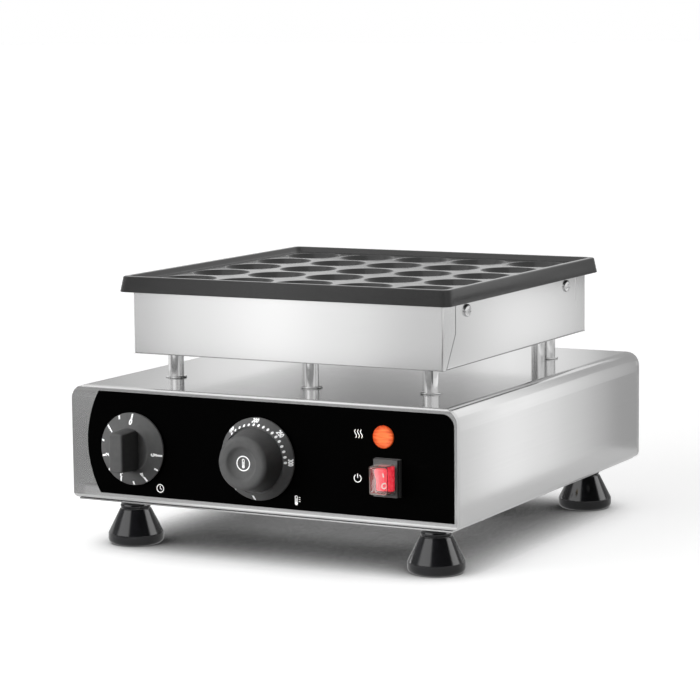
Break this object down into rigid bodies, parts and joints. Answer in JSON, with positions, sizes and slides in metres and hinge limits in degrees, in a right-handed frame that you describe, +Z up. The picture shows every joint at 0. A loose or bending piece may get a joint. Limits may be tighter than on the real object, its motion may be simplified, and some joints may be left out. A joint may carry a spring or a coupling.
{
  "type": "poffertjes maker",
  "caption": "Countertop poffertjes maker: a square cast plate of round cups over a heater case on posts, above a steel body with timer, thermostat, lamp and covered switch.",
  "frame": {"origin": "on the table, under the middle of the whole appliance's box", "axes": "+X to the right of someone facing the controls, +Y to the back, +Z up"},
  "size_m": [0.32, 0.388, 0.203],
  "materials": {
    "stainless": "polished stainless sheet",
    "plated_steel": "zinc plated",
    "overlay": "matt black film",
    "black_plastic": "glossy black",
    "knob_plastic": "satin dark grey",
    "grey_plastic": "moulded",
    "white_plastic": "moulded",
    "orange_lens": "translucent orange",
    "red_rocker": "glossy red",
    "clear_cover": "clear soft cover",
    "brass": "bright",
    "coated_casting": "dark non-stick coating",
    "mineral_wool": "felted wool"
  },
  "bodies": {
    "appliance": {"body_shell": "stainless", "front_panel": "stainless", "control_overlay": "overlay", "rear_panel": "stainless", "bottom_plate": "stainless", "bottom_screws": "plated_steel", "foot_front_left": "black_plastic", "foot_front_right": "black_plastic", "foot_rear_left": "black_plastic", "foot_rear_right": "black_plastic", "foot_screws": "plated_steel", "foot_nuts": "plated_steel", "timer_movement": "grey_plastic", "timer_nut": "brass", "thermostat_body": "grey_plastic", "thermostat_nut": "brass", "thermostat_bulb": "brass", "bulb_clip": "stainless", "lamp_barrel": "white_plastic", "lamp_nut": "black_plastic", "lamp_lens": "orange_lens", "switch_body": "knob_plastic", "switch_cover": "clear_cover", "cable_gland": "black_plastic", "gland_nut": "black_plastic", "terminal_block": "white_plastic", "terminal_screws": "plated_steel", "earth_stud": "brass", "post_front_left": "stainless", "post_front_right": "stainless", "post_rear_left": "stainless", "post_rear_right": "stainless", "post_washers": "stainless", "post_bolts": "plated_steel", "post_nuts": "plated_steel", "wire_tube": "stainless", "capillary_tube": "stainless", "tube_nuts": "brass", "case_pan": "stainless", "case_front": "stainless", "case_rear": "stainless", "case_screws": "stainless", "baking_plate": "coated_casting", "heating_element": "plated_steel", "element_clamps": "stainless", "clamp_screws": "plated_steel", "insulation_pad": "mineral_wool"},
    "timer_dial": {"timer_knob": "knob_plastic", "timer_shaft": "plated_steel"},
    "temperature_dial": {"temperature_knob": "knob_plastic", "thermostat_shaft": "plated_steel"},
    "rocker": {"switch_rocker": "red_rocker"}
  },
  "joints": [
    {"name": "timer_turn", "type": "hinge", "parent": "appliance", "child": "timer_dial", "pos_m": [-0.105, -0.167, 0.079], "axis": [0, -1, 0], "range_deg": [-256, 0]},
    {"name": "temperature_turn", "type": "hinge", "parent": "appliance", "child": "temperature_dial", "pos_m": [0.002, -0.167, 0.079], "axis": [0, -1, 0], "range_deg": [-176, 96]},
    {"name": "rocker_tilt", "type": "hinge", "parent": "appliance", "child": "rocker", "pos_m": [0.107, -0.1708, 0.073], "axis": [1, 0, 0], "range_deg": [-24, 0]}
  ]
}
